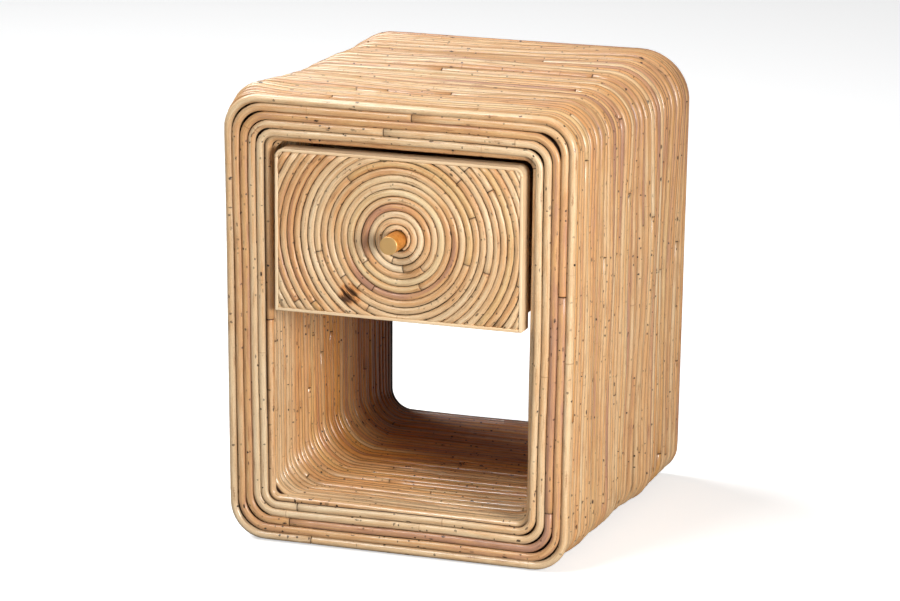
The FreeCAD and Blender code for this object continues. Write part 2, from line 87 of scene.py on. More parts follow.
# camera, light and floor
view = {
    "azimuth": 19.03, "elevation": 14.35, "roll": 0.42,
    "aim": (0.0, 0.014, 0.2525), "away": 4.514, "right": -0.00949, "up": -0.01199,
    "lens": 160.72, "sensor": 36.0,
}
studio = {
    "front": 0.05, "behind": 0.02, "above": 0.12, "backdrop": 0.95,
    "floorSeen": (0.82, 0.815, 0.81, 1.0), "floorBounce": (0.22, 0.215, 0.21, 1.0), "floorGlow": 0.55,
    "floorHalf": 9.0, "floorRoughness": 0.9, "lit": (0, 0.02, 0.28),
    "depthFade": (-0.3, 0.5), "heightFade": (0.2, 0.9),
    "key": {"at": (1.6, -1.3, 0.62), "size": 0.8, "power": 39.0, "colour": (1.0, 0.965, 0.925)},
    "fill": {"at": (-1.1, -2.4, 3.1), "size": 1.2, "power": 61.0, "colour": (0.98, 0.985, 1.0)},
    "top": {"at": (-1.8, 0.4, 2.9), "size": 1.8, "power": 88.0, "colour": (0.96, 0.98, 1.0)},
}

bpy.context.scene.view_settings.view_transform = "Standard"


def setCamera():
    a = math.radians(view["azimuth"])
    e = math.radians(view["elevation"])
    back = Vector((math.sin(a) * math.cos(e), -math.cos(a) * math.cos(e), math.sin(e)))
    right = Vector((math.cos(a), math.sin(a), 0))
    up = back.cross(right)
    r = math.radians(view["roll"])
    tiltRight = right * math.cos(r) + up * math.sin(r)
    tiltUp = up * math.cos(r) - right * math.sin(r)
    place = Vector(view["aim"]) + back * view["away"] + right * view["right"] + up * view["up"]
    data = bpy.data.cameras.new("camera")
    data.lens = view["lens"]
    data.sensor_width = view["sensor"]
    data.clip_start = 0.1
    data.clip_end = 50
    camera = bpy.data.objects.new("camera", data)
    turned = Matrix((tiltRight, tiltUp, back)).transposed().to_4x4()
    camera.matrix_world = Matrix.Translation(place) @ turned
    bpy.context.collection.objects.link(camera)
    bpy.context.scene.camera = camera


def addLight(name, settings):
    data = bpy.data.lights.new(name, "AREA")
    data.shape = "DISK"
    data.size = settings["size"]
    data.energy = settings["power"]
    data.color = settings["colour"]
    lamp = bpy.data.objects.new(name, data)
    lamp.location = settings["at"]
    towards = Vector(studio["lit"]) - lamp.location
    lamp.rotation_euler = towards.to_track_quat("-Z", "Y").to_euler()
    bpy.context.collection.objects.link(lamp)


def setWorld():
    # soft light from in front and above, little from behind, so that the hollow stays dark at its back
    world = bpy.data.worlds.new("studio")
    world.use_nodes = True
    tree = world.node_tree
    background = tree.nodes["Background"]
    direction = addNode(tree, "ShaderNodeTexCoord").outputs["Generated"]
    parts = split(tree, direction)
    level = between(tree, parts["Y"], *studio["depthFade"], studio["front"], studio["behind"])
    overhead = between(tree, parts["Z"], *studio["heightFade"], 0.0, studio["above"])
    level = plus(tree, level, overhead)
    seen = addNode(tree, "ShaderNodeLightPath").outputs["Is Camera Ray"]
    shown = times(tree, seen, studio["backdrop"])
    unseen = maths(tree, "SUBTRACT", 1.0, seen)
    level = plus(tree, times(tree, level, unseen), shown)
    tree.links.new(level, background.inputs["Strength"])
    background.inputs["Color"].default_value = (1, 1, 1, 1)
    bpy.context.scene.world = world


def setStage():
    for name in ("key", "fill", "top"):
        addLight(f"{name}_light", studio[name])

    bm = bmesh.new()
    bmesh.ops.create_grid(bm, x_segments=1, y_segments=1, size=studio["floorHalf"])
    data = bpy.data.meshes.new("floor")
    bm.to_mesh(data)
    bm.free()
    floor = bpy.data.objects.new("floor", data)
    bpy.context.collection.objects.link(floor)
    material = bpy.data.materials.new("pale_floor")
    material.use_nodes = True
    tree = material.node_tree
    shader = tree.nodes["Principled BSDF"]
    seen = addNode(tree, "ShaderNodeLightPath").outputs["Is Camera Ray"]
    colour = blendColour(tree, seen, studio["floorBounce"], studio["floorSeen"])
    glow = times(tree, seen, studio["floorGlow"])
    tree.links.new(colour, shader.inputs["Base Color"])
    tree.links.new(glow, shader.inputs["Emission Strength"])
    shader.inputs["Emission Color"].default_value = (1, 1, 1, 1)
    shader.inputs["Roughness"].default_value = studio["floorRoughness"]
    data.materials.append(material)


setCamera()


# short ways to make and join shader nodes
def addNode(tree, kind, inputs=None, **settings):
    made = tree.nodes.new(kind)
    for name, value in settings.items():
        setattr(made, name, value)
    for name, value in (inputs or {}).items():
        if isinstance(value, bpy.types.NodeSocket):
            tree.links.new(value, made.inputs[name])
        else:
            made.inputs[name].default_value = value
    return made


def maths(tree, operation, first, second=0.5, clamp=False):
    made = addNode(tree, "ShaderNodeMath", {0: first, 1: second}, operation=operation, use_clamp=clamp)
    return made.outputs[0]


def times(tree, first, second, clamp=False):
    return maths(tree, "MULTIPLY", first, second, clamp)


def plus(tree, first, second, clamp=False):
    return maths(tree, "ADD", first, second, clamp)


def swing(tree, value, size):
    # how far value is from a half, times size
    return times(tree, maths(tree, "SUBTRACT", value, 0.5), size)


def between(tree, value, low, high, toLow=0.0, toHigh=1.0):
    # a smooth step of value from low to high
    made = addNode(tree, "ShaderNodeMapRange", {"Value": value}, interpolation_type="SMOOTHSTEP")
    for name, number in (("From Min", low), ("From Max", high), ("To Min", toLow), ("To Max", toHigh)):
        made.inputs[name].default_value = number
    return made.outputs["Result"]


def blendColour(tree, amount, first, second, kind="MIX"):
    made = addNode(tree, "ShaderNodeMix", data_type="RGBA", blend_type=kind)
    for name, value in (("Factor", amount), ("A", first), ("B", second)):
        socket = next(s for s in made.inputs if s.name == name and s.type in ("RGBA", "VALUE") and s.enabled)
        if isinstance(value, bpy.types.NodeSocket):
            tree.links.new(value, socket)
        else:
            socket.default_value = value
    return next(s for s in made.outputs if s.type == "RGBA")


def darken(tree, colour, level):
    # level under 1 darkens a colour evenly, over 1 lightens it
    grey = addNode(tree, "ShaderNodeCombineColor", {0: level, 1: level, 2: level}).outputs[0]
    return blendColour(tree, 1.0, colour, grey, "MULTIPLY")


def stretch(tree, vector, scale):
    return addNode(tree, "ShaderNodeVectorMath", {0: vector, 1: scale}, operation="MULTIPLY").outputs[0]


def move(tree, vector, shift):
    return addNode(tree, "ShaderNodeVectorMath", {0: vector, 1: shift}, operation="ADD").outputs[0]


def objectPlace(tree):
    return addNode(tree, "ShaderNodeTexCoord").outputs["Object"]


def split(tree, vector):
    return addNode(tree, "ShaderNodeSeparateXYZ", {0: vector}).outputs


def combine(tree, x, y=0.0):
    return addNode(tree, "ShaderNodeCombineXYZ", {0: x, 1: y}).outputs[0]


def cloudy(tree, vector, detail=3.0, roughness=0.55):
    made = addNode(tree, "ShaderNodeTexNoise", {"Vector": vector, "Scale": 1.0, "Detail": detail})
    made.inputs["Roughness"].default_value = roughness
    return made.outputs["Fac"]


def ramp(tree, value, stops):
    made = addNode(tree, "ShaderNodeValToRGB", {"Fac": value})
    points = made.color_ramp.elements
    while len(points) < len(stops):
        points.new(0.5)
    for point, (position, colour) in zip(points, stops):
        point.position = position
        point.color = colour
    return made.outputs["Color"]


def newGroup(name, takes):
    group = bpy.data.node_groups.new(name, "ShaderNodeTree")
    for label, kind, default in takes:
        socket = group.interface.new_socket(label, in_out="INPUT", socket_type=kind)
        if default is not None:
            socket.default_value = default
    gives = {"Color": "NodeSocketColor", "Roughness": "NodeSocketFloat", "Height": "NodeSocketFloat"}
    for label, kind in gives.items():
        group.interface.new_socket(label, in_out="OUTPUT", socket_type=kind)
    return group, group.nodes.new("NodeGroupInput").outputs


def finishGroup(group, colour, rough, height):
    out = group.nodes.new("NodeGroupOutput").inputs
    for label, value in (("Color", colour), ("Roughness", rough), ("Height", height)):
        group.links.new(value, out[label])
    return group


def useGroup(tree, group, inputs):
    return addNode(tree, "ShaderNodeGroup", inputs, node_tree=group).outputs


setWorld()
setStage()
print("camera, lights and floor are set")


# colours of cane, its grain as stretched clouds, and the marks scattered on it
caneLook = {
    "straw": paint(229, 197, 154), "cream": paint(240, 218, 182), "honey": paint(219, 170, 118),
    "rose": paint(196, 148, 118), "mauve": paint(168, 130, 112), "dark": paint(52, 28, 16),
    "toast": paint(206, 128, 56), "speck": paint(48, 24, 14), "scar": paint(146, 92, 54),
    "glueAndShade": paint(60, 32, 17), "blush": paint(250, 205, 128), "green": paint(244, 248, 214),
}
caneGrain = {  # scale along and across, detail, roughness
    "slow": ((5.0, 60.0, 60.0), 2.0, 0.55),
    "bands": ((7.0, 420.0, 420.0), 2.0, 0.55),
    "blotch": ((30.0, 190.0, 190.0), 4.0, 0.6),
    "fibre": ((45.0, 1900.0, 1900.0), 3.0, 0.6),
    "fine": ((420.0, 2600.0, 2600.0), 2.0, 0.6),
    "bark": ((17.0, 360.0, 360.0), 5.0, 0.7),
    "patches": ((14.0, 14.0, 14.0), 2.0, 0.55),
}
caneMarks = {  # scale along and around, share of empty cells, where a mark is full and where gone, turn
    "dot": ((100.0, 125.0, 1.0), 0.79, 0.09, 0.16, 0.0),
    "dash": ((62.0, 240.0, 1.0), 0.93, 0.09, 0.2, 0.45),
    "across": ((190.0, 110.0, 1.0), 0.95, 0.09, 0.19, -0.35),
    "knot": ((30.0, 62.0, 1.0), 0.86, 0.05, 0.1, 0.3),
    "scar": ((26.0, 330.0, 1.0), 0.84, 0.08, 0.32, 0.02),
}
raggedEdge = {"scale": 900.0, "size": (0.0018, 0.0018, 0.0)}


def scattered(tree, around, scale, rarity, near, far, turn):
    # marks on the unrolled surface: only some cells carry one
    how = {"Vector": around, "Scale": scale, "Rotation": (0.0, 0.0, turn)}
    laid = addNode(tree, "ShaderNodeMapping", how)
    where = {"Vector": laid.outputs[0], "Scale": 1.0}
    cells = addNode(tree, "ShaderNodeTexVoronoi", where, voronoi_dimensions="2D")
    chance = addNode(tree, "ShaderNodeSeparateColor", {0: cells.outputs["Color"]}).outputs
    there = maths(tree, "GREATER_THAN", chance[0], rarity)
    strength = between(tree, chance[1], 0.0, 0.8, 0.35, 1.0)
    shape = between(tree, cells.outputs["Distance"], far, near)
    return times(tree, times(tree, shape, there), strength)


def makeCaneGroup():
    # Straight is the place in the cane as if it lay straight: along it in X, outwards in Y, sideways in Z.
    # Tint holds the length's own shade, warmth and seed; Facts holds knuckle, cut end and scorch.
    tree, into = newGroup(
        "caneSurface",
        [("Straight", "NodeSocketVector", None), ("Tint", "NodeSocketVector", None),
         ("Facts", "NodeSocketVector", None), ("Groove", "NodeSocketFloat", 0.4),
         ("ShadeAndGlue", "NodeSocketFloat", 0.9), ("Specks", "NodeSocketFloat", 1.0),
         ("Bark", "NodeSocketFloat", 0.4)],
    )
    tint = split(tree, into["Tint"])
    facts = split(tree, into["Facts"])
    spot = split(tree, into["Straight"])
    shift = times(tree, tint["Z"], 40.0)
    seeded = combine(tree, shift)
    place = move(tree, into["Straight"], seeded)
    reach = maths(tree, "SQRT", plus(tree, times(tree, spot["Y"], spot["Y"]),
                                      times(tree, spot["Z"], spot["Z"])))
    arc = times(tree, maths(tree, "ARCTAN2", spot["Z"], spot["Y"]), reach)
    along = plus(tree, spot["X"], shift)
    around = combine(tree, along, arc)

    def cover(colour, amount, strength, name):
        return blendColour(tree, times(tree, amount, strength), colour, caneLook[name])

    grain = {name: cloudy(tree, stretch(tree, place, scale), detail, roughness)
             for name, (scale, detail, roughness) in caneGrain.items()}
    shade = plus(tree, tint["X"], swing(tree, grain["slow"], 0.8))
    shade = plus(tree, shade, swing(tree, grain["bands"], 0.7))
    shade = plus(tree, shade, swing(tree, grain["blotch"], 0.6), True)
    colour = ramp(tree, shade, [
        (0.0, caneLook["cream"]), (0.3, caneLook["straw"]), (0.58, caneLook["honey"]),
        (0.8, caneLook["rose"]), (1.0, caneLook["mauve"])])
    blushed = blendColour(tree, 1.0, colour, caneLook["blush"], "MULTIPLY")
    colour = blendColour(tree, tint["Y"], colour, blushed)
    greenish = blendColour(tree, 1.0, colour, caneLook["green"], "MULTIPLY")
    unripe = between(tree, maths(tree, "FRACT", shift), 0.82, 1.0, 0.0, 0.4)
    colour = blendColour(tree, unripe, colour, greenish)

    colour = cover(colour, between(tree, grain["fibre"], 0.45, 0.75), 0.42, "scar")
    # painted sheen: pale streaks along the fibre
    colour = cover(colour, between(tree, grain["fibre"], 0.42, 0.22), 0.35, "cream")
    colour = darken(tree, colour, between(tree, grain["fine"], 0.3, 0.75, 0.9, 1.06))
    # bark left on, in long ragged patches
    colour = cover(colour, between(tree, grain["bark"], 0.58, 0.68), into["Bark"], "scar")

    # specks, knots, dashes at odd angles and long scars
    crumbs = {"Vector": around, "Scale": raggedEdge["scale"], "Detail": 1.0}
    ragged = addNode(tree, "ShaderNodeTexNoise", crumbs)
    around = move(tree, around, stretch(tree, ragged.outputs["Color"], raggedEdge["size"]))
    marks = {name: scattered(tree, around, *how) for name, how in caneMarks.items()}
    specks = marks["dot"]
    for name in ("knot", "dash", "across"):
        specks = maths(tree, "MAXIMUM", specks, marks[name])
    specks = times(tree, specks, between(tree, grain["patches"], 0.4, 0.5))
    specks = times(tree, specks, into["Specks"], True)
    colour = cover(colour, marks["scar"], 0.6, "scar")
    colour = blendColour(tree, specks, colour, caneLook["speck"])

    # knuckles, scorched stretches and butt joints
    colour = cover(colour, between(tree, facts["X"], 0.5, 0.95), 0.5, "scar")
    colour = blendColour(tree, between(tree, facts["Z"], 0.04, 0.4, 0.0, 0.7), colour, caneLook["toast"])
    scorch = times(tree, facts["Z"], between(tree, grain["blotch"], 0.3, 0.6))
    colour = cover(colour, between(tree, scorch, 0.16, 0.4), 0.9, "dark")
    colour = cover(colour, between(tree, facts["Y"], 0.25, 0.9), 0.7, "glueAndShade")

    # painted highlight and painted shade: each cane's crown is painted paler and its sides darker, and
    # painted shade, with a little glue, darkens where canes meet
    facing = maths(tree, "DIVIDE", spot["Y"], reach)
    colour = darken(tree, colour, between(tree, facing, 0.3, 0.97, 0.84, 1.08))
    # painted shade in the grooves between canes, with a little glue; the same dark colour also marks the
    # real butt joints
    edge = plus(tree, facing, swing(tree, grain["blotch"], 0.22))
    darkMask = addNode(tree, "ShaderNodeMapRange", {"Value": edge, "From Min": into["Groove"], "From Max": 0.13},
                   interpolation_type="SMOOTHSTEP").outputs["Result"]
    colour = cover(colour, darkMask, into["ShadeAndGlue"], "glueAndShade")

    rough = between(tree, grain["blotch"], 0.2, 0.8, 0.28, 0.46)
    rough = plus(tree, rough, times(tree, specks, 0.2))
    rough = plus(tree, rough, times(tree, darkMask, 0.25))
    height = plus(tree, times(tree, grain["fibre"], 0.5),
                   times(tree, grain["blotch"], 0.6))
    height = maths(tree, "SUBTRACT", height, times(tree, specks, 0.6))
    height = maths(tree, "SUBTRACT", height, times(tree, marks["scar"], 0.5))
    return finishGroup(tree, colour, rough, height)


caneGroup = makeCaneGroup()


def newMaterial(name, coat=0.0, coatRoughness=0.2, specular=0.5, metallic=0.0):
    material = bpy.data.materials.new(name)
    material.use_nodes = True
    tree = material.node_tree
    shader = tree.nodes["Principled BSDF"]
    finish = {"Coat Weight": coat, "Coat Roughness": coatRoughness, "Specular IOR Level": specular,
              "Metallic": metallic}
    for label, value in finish.items():
        shader.inputs[label].default_value = value
    return material, tree, shader


def finishMaterial(tree, shader, made, strength, distance):
    pushed = {"Height": made["Height"], "Strength": strength, "Distance": distance}
    bump = addNode(tree, "ShaderNodeBump", pushed)
    tree.links.new(made["Color"], shader.inputs["Base Color"])
    tree.links.new(made["Roughness"], shader.inputs["Roughness"])
    tree.links.new(bump.outputs["Normal"], shader.inputs["Normal"])


def caneMaterial(name, settings):
    material, tree, shader = newMaterial(name, settings["coat"], coatRoughness=0.16, specular=0.45)
    marks = {
        label: addNode(tree, "ShaderNodeAttribute", attribute_name=layer).outputs["Vector"]
        for label, layer in (("Straight", "straightCane"), ("Tint", "caneTint"), ("Facts", "caneFacts"))
    }
    for label in ("Groove", "ShadeAndGlue", "Specks", "Bark"):
        marks[label] = settings[label.lower()]
    finishMaterial(tree, shader, useGroup(tree, caneGroup, marks), strength=0.35, distance=0.0004)
    return material


# the second column sets how strongly the grooves between canes are darkened, a painted shade with a little
# glue in it
caneFinish = {
    "claddingCane": {"coat": 0.45, "groove": 0.24, "shadeandglue": 0.6, "specks": 1.0, "bark": 0.4},
    "liningCane": {"coat": 0.85, "groove": 0.4, "shadeandglue": 1.0, "specks": 1.0, "bark": 0.6},
    "rimCane": {"coat": 0.25, "groove": 0.46, "shadeandglue": 1.0, "specks": 1.0, "bark": 0.25},
    "inlayCane": {"coat": 0.12, "groove": 0.5, "shadeandglue": 1.0, "specks": 0.8, "bark": 0.3},
}
canes = {name: caneMaterial(name, settings) for name, settings in caneFinish.items()}
print("cane materials are made")


# rings of cane and the lengths they are laid from
def ringOutline(half, low, high, radii):
    # straight and bent stretches of a rounded rectangle, clockwise from the middle of its top
    topRight, bottomRight, bottomLeft, topLeft = radii
    spots = [
        (Vector((half, high)), topRight), (Vector((half, low)), bottomRight),
        (Vector((-half, low)), bottomLeft), (Vector((-half, high)), topLeft),
    ]
    heading = [Vector((1, 0)), Vector((0, -1)), Vector((-1, 0)), Vector((0, 1)), Vector((1, 0))]
    stretches = []
    start = Vector((0, high))
    for number, (corner, radius) in enumerate(spots):
        before = corner - heading[number] * radius
        stretches.append(("straight", start, heading[number], (before - start).length))
        centre = before + heading[number + 1] * radius
        stretches.append(("bend", centre, heading[number], radius))
        start = corner + heading[number + 1] * radius
    stretches.append(("straight", start, heading[4], (Vector((0, high)) - start).length))
    return stretches


def stretchLength(stretch):
    return stretch[3] if stretch[0] == "straight" else stretch[3] * math.pi / 2


def ringSpot(stretches, distance):
    # place, heading and outward direction after a distance round the ring, in X and Z
    total = sum(stretchLength(s) for s in stretches)
    left = distance % total
    for stretch in stretches:
        length = stretchLength(stretch)
        if left <= length:
            break
        left -= length
    kind, origin, heading, size = stretch
    if kind == "straight":
        outward = Vector((-heading.y, heading.x))
        return origin + heading * left, heading, outward
    turn = left / size
    outward = Vector((-heading.y, heading.x)) * math.cos(turn) + heading * math.sin(turn)
    along = heading * math.cos(turn) - Vector((-heading.y, heading.x)) * math.sin(turn)
    return origin + outward * size, along, outward


def startCanes():
    bm = bmesh.new()
    for name in ("straightCane", "caneTint", "caneFacts"):
        bm.verts.layers.float_vector.new(name)
    return bm


laying = {
    "sides": 12, "squareness": 2.7,  # 2 is round
    "look": 0.0018, "least": 0.0003, "bend": math.cos(math.radians(7)),
    "leftOver": 0.002,  # a shorter rest isn't laid
    "lastShare": 0.5,  # a last length under this share of the shortest joins the one before
    "margin": 0.01,  # no knuckle this near an end
    "chamfer": 0.0006, "rounded": 0.0003, "endWidth": 0.9, "cut": 0.0011,
    "aroundKnuckle": (-0.0035, -0.0012, 0.0, 0.0012, 0.0035), "knuckle": 0.0015, "knuckleSwell": 0.05,
    "wobble": 0.03, "wobbleScale": 25,
    "scorch": 0.006, "stained": 0.3, "stain": (0.1, 0.3), "stainReach": 0.003, "burn": 1.7,
    "arc": 0.0042,
    "clear": 1.12,  # least height above the floor, in cane radii
}


def sweepLength(whole, stations, tint):
    # one length of cane: a disc is extruded from station to station
    bm = startCanes()
    straight = bm.verts.layers.float_vector["straightCane"]
    tints = bm.verts.layers.float_vector["caneTint"]
    marks = bm.verts.layers.float_vector["caneFacts"]

    def mark(verts, station, matrix):
        undo = matrix.inverted()
        for vert in verts:
            local = undo @ vert.co
            turn = math.atan2(local.y, local.x) * station["spread"]
            size = Vector((local.x, local.y)).length * station["radius"]
            vert[straight] = (station["along"], math.cos(turn) * size, math.sin(turn) * size)
            vert[tints] = (tint[0] + station["tone"], tint[1], tint[2])
            vert[marks] = station["facts"]

    matrix = stationMatrix(stations[0])
    made = bmesh.ops.create_circle(bm, cap_ends=True, segments=laying["sides"], radius=1.0)
    power = laying["squareness"]
    for vert in made["verts"]:  # canes pressed side by side are a little square
        vert.co /= (abs(vert.co.x) ** power + abs(vert.co.y) ** power) ** (1 / power)
    bmesh.ops.transform(bm, matrix=matrix, verts=made["verts"])
    mark(made["verts"], stations[0], matrix)
    edges = list(bm.edges)
    for station in stations[1:]:
        made = bmesh.ops.extrude_edge_only(bm, edges=edges)["geom"]
        verts = [g for g in made if isinstance(g, bmesh.types.BMVert)]
        edges = [g for g in made if isinstance(g, bmesh.types.BMEdge)]
        following = stationMatrix(station)
        bmesh.ops.transform(bm, matrix=following @ matrix.inverted(), verts=verts)
        mark(verts, station, following)
        matrix = following
    bmesh.ops.edgeloop_fill(bm, edges=edges)
    bmesh.ops.recalc_face_normals(bm, faces=list(bm.faces))
    for face in bm.faces:
        face.smooth = len(face.verts) == 4
    joined = bpy.data.meshes.new("length")
    bm.to_mesh(joined)
    bm.free()
    whole.from_mesh(joined)
    bpy.data.meshes.remove(joined)


def stationMatrix(station):
    outward = station["outward"]
    along = station["heading"]
    sideways = along.cross(outward).normalized()
    size = station["radius"]
    matrix = Matrix((outward * size, sideways * size, along * size)).transposed().to_4x4()
    matrix.translation = station["spot"]
    return matrix


def arcTone(spot, centre, ring, angle, wide, size):
    # a darker stretch of one ring about a centre, fading at its ends
    flat = Vector((spot.x - centre.x, spot.z - centre.z))
    turned = math.remainder(math.atan2(flat.y, flat.x) - math.radians(angle), 2 * math.pi)
    across = (flat.length - ring) / laying["arc"]
    return size * math.exp(-across ** 2 - (turned / math.radians(wide)) ** 4)


def fullWidth(distance):
    return 1.0


def layCane(whole, path, length, settings, dice, spread=1.0, taper=fullWidth):
    # cuts a run of cane into lengths with butt joints, and gives each its knuckles, shade and wear;
    # spread is under 1 where more than half of the cane's round shows
    first = 0.0
    while first < length - laying["leftOver"]:
        piece = dice.uniform(*settings["lengths"])
        if length - first - piece < settings["lengths"][0] * laying["lastShare"]:
            piece = length - first
        last = first + piece
        ends = (first + settings["gap"] / 2, last - settings["gap"] / 2)
        knuckles = []
        spot = ends[0] + dice.uniform(laying["margin"], settings["knuckles"][1])
        while spot < ends[1] - laying["margin"]:
            knuckles.append((spot, dice.uniform(0.3, 1.0)))
            spot += dice.uniform(*settings["knuckles"])
        fixed = {ends[0], ends[0] + laying["chamfer"], ends[1] - laying["chamfer"], ends[1]}
        for spot, _ in knuckles:
            fixed.update(spot + shift for shift in laying["aroundKnuckle"])
        steps = max(2, int(piece / laying["look"]))
        marks = fixed | {ends[0] + (ends[1] - ends[0]) * i / steps for i in range(steps + 1)}
        thickness = dice.uniform(*settings["thickness"])
        scorch = dice.random() < settings["scorched"]
        scorchAt = dice.uniform(first, last)
        # some lengths have a dark knot at their far end
        stained = dice.uniform(*laying["stain"]) if dice.random() < laying["stained"] else 0.0
        offset = dice.uniform(-100, 100)
        stations = []
        for at in sorted(m for m in marks if ends[0] <= m <= ends[1]):
            spot, heading, outward = path(at)
            if stations:
                before = stations[-1]
                gone = at - before["along"]
                bent = before["heading"].dot(heading) < laying["bend"]
                if gone < laying["least"] or not (at in fixed or bent or gone > settings["step"]):
                    continue
            knuckle = max((size * bell(at - k, laying["knuckle"]) for k, size in knuckles),
                          default=0.0)
            toEnd = min(at - ends[0], ends[1] - at)
            cut = max(0.0, 1.0 - toEnd / laying["cut"])
            wobble = 1 + laying["wobble"] * ripple(at * laying["wobbleScale"], offset, 0)
            radius = settings["radius"] * thickness * wobble * (1 + laying["knuckleSwell"] * knuckle)
            radius *= taper(at) * (laying["endWidth"] if toEnd < laying["rounded"] else 1.0)
            burnt = bell(at - scorchAt, laying["scorch"]) if scorch else 0.0
            burnt = max(burnt, stained * bell(at - last, laying["stainReach"]))
            for burn, size in settings.get("burns", ()):
                burnt = max(burnt, laying["burn"] * bell((spot - burn).length, size))
            # zones and arcs darken or lighten stretches of cane; on the outer hoops the zones are painted
            # shade
            tone = sum(size * bell((spot - middle).length, reach)
                       for middle, reach, size in settings.get("zones", ()))
            tone += sum(arcTone(spot, *arc) for arc in settings.get("arcs", ()))
            stations.append({
                "tone": tone, "spot": spot, "heading": heading, "outward": outward, "radius": radius,
                "along": at, "facts": (knuckle, cut, burnt), "spread": spread,
            })
        shade = min(1.0, max(0.0, dice.gauss(settings["shade"][0], settings["shade"][1])))
        warmth = min(1.0, settings.get("warmest", 0.0) + dice.random() ** 2 * settings["warmth"])
        sweepLength(whole, stations, (shade, warmth, dice.random()))
        first = last


def addPiece(name, bm, material, body, replaced):
    # replaced lists the frame's nodes that the piece stands for
    data = bpy.data.meshes.new(name)
    bm.to_mesh(data)
    bm.free()
    piece = bpy.data.objects.new(name, data)
    bpy.context.collection.objects.link(piece)
    data.materials.append(material)
    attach(piece, body)
    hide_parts(*replaced)


# cladding: hoops side by side from front to back
hoops = {
    "count": 45, "topFront": 0.040, "topBack": 0.058, "bottom": 0.040, "bottomRightBack": 0.034,
    "bottomGrowth": 0.008, "tuck": 0.0008,
    "bulge": 0.0028, "unevenness": 0.0042, "drift": 0.0016, "jitter": 0.0012, "cornerSpread": 0.67,
    # the upper left bend is tighter behind the front
    "squarer": {"by": 0.016, "place": 0.16, "spread": 0.14},
    "cane": {"radius": 0.00452, "thickness": (0.93, 1.06), "step": 0.026, "gap": 0.0005,
             "lengths": (0.55, 1.7), "knuckles": (0.09, 0.26), "scorched": 0.012, "shade": (0.45, 0.11),
             "warmth": 0.3},
}


hoops["lumps"] = [
    (Vector((0.2, 0.19, 0.37)), 0.15, 0.0042), (Vector((-0.18, -0.15, 0.49)), 0.035, 0.0048),
    (Vector((-0.195, -0.17, 0.46)), 0.04, 0.003), (Vector((0.16, 0.2, 0.5)), 0.08, 0.0045),
]
# painted shade: these zones paint the right side darker, most of all its upper bend
hoops["cane"]["zones"] = [
    (Vector((0.19, -0.02, 0.475)), 0.1, 0.24), (Vector((0.2, 0.15, 0.43)), 0.09, 0.12),
    (Vector((0.2, -0.05, 0.3)), 0.12, 0.06), (Vector((0.2, 0.12, 0.1)), 0.12, 0.1),
]


def upright(flat):
    return Vector((flat.x, 0, flat.y))


def hoopDepth(number):
    inset = table["cane"] / 2
    length = table["back"] - table["front"] - 2 * inset
    return table["front"] + inset + number / (hoops["count"] - 1) * length


def leanOut(x, z):
    middle = (table["low"] + table["high"]) / 2
    return x * (1 + table["lean"] * (z - middle) / (table["high"] - middle))


def hoopPath(stretches, depth, settings, inwards, dice):
    lag = dice.uniform(-settings["jitter"], settings["jitter"])
    begin = dice.uniform(0, 1)
    total = sum(stretchLength(s) for s in stretches)

    def path(distance):
        place, heading, outward = ringSpot(stretches, distance + begin * total)
        keep = min(1.0, share(depth) * table["calm"], (1 - share(depth)) * table["calm"])
        swell = ripple(place.x * 5, place.y * 5, depth * 15 + inwards * 7)
        swell *= settings["unevenness"]
        swell += ripple(place.x * 9, place.y * 9, depth * 160) * settings["jitter"]
        for middle, reach, size in settings.get("lumps", ()):
            swell += size * bell((Vector((place.x, depth, place.y)) - middle).length, reach)
        place = place + outward * (swell + lag) * keep
        place.y = max(place.y, settings["cane"]["radius"] * laying["clear"])  # not into the floor
        drift = ripple(place.x * 7 + 3, place.y * 7, depth * 9) * settings["drift"]
        finer = ripple(place.x * 11, place.y * 11 + 5, depth * 90)
        drift += finer * settings["jitter"] * 0.6
        spot = Vector((leanOut(place.x, place.y), depth + drift * keep, place.y))
        return spot, upright(heading), upright(outward)

    return path, total


def facing(path, aim):
    # turns a cane so that its clean side looks where it shows
    def turned(distance):
        spot, heading, outward = path(distance)
        return spot, heading, aim(outward)
    return turned


def diagonally(outwards, endwards):
    # both out of the wall and out of the end
    return lambda outward: (outward * outwards + Vector((0, endwards, 0))).normalized()


def makeOuterHoops():
    dice = random.Random(11)
    cane = hoops["cane"]
    squarer = hoops["squarer"]
    bm = startCanes()
    inset = cane["radius"]
    for number in range(hoops["count"]):
        depth = hoopDepth(number)
        part = share(depth)
        rounding = hoops["topFront"] + (hoops["topBack"] - hoops["topFront"]) * part
        low = hoops["bottom"] + (hoops["bottomRightBack"] - hoops["bottom"]) * part
        left = hoops["bottom"] + hoops["bottomGrowth"] * part
        tighter = squarer["by"] * bell(part - squarer["place"], squarer["spread"])
        radii = [r - inset for r in (rounding, low, left, rounding - (tighter if number else 0.0))]
        bulge = hoops["bulge"] * math.sin(math.pi * part) ** 2
        edge = number in (0, hoops["count"] - 1)
        tuck = 0.0 if edge else hoops["tuck"]
        grow = bulge * 0.5 - tuck
        half = table["half"] + flareAt(depth) - inset + grow
        foot = table["low"] + inset - min(0, grow) * 0.5
        stretches = ringOutline(half, foot, table["high"] - inset - tuck, radii)
        path, total = hoopPath(stretches, depth, hoops, 0, dice)
        if edge:
            path = facing(path, diagonally(1, -1 if number == 0 else 1))
        layCane(bm, path, total, cane, dice, hoops["cornerSpread"] if edge else 1.0)
    addPiece("outer_hoops", bm, canes["claddingCane"], "carcase",
             ["outer_cane_hoops", "proud_outer_hoops"])


makeOuterHoops()
print("outer hoops are laid")


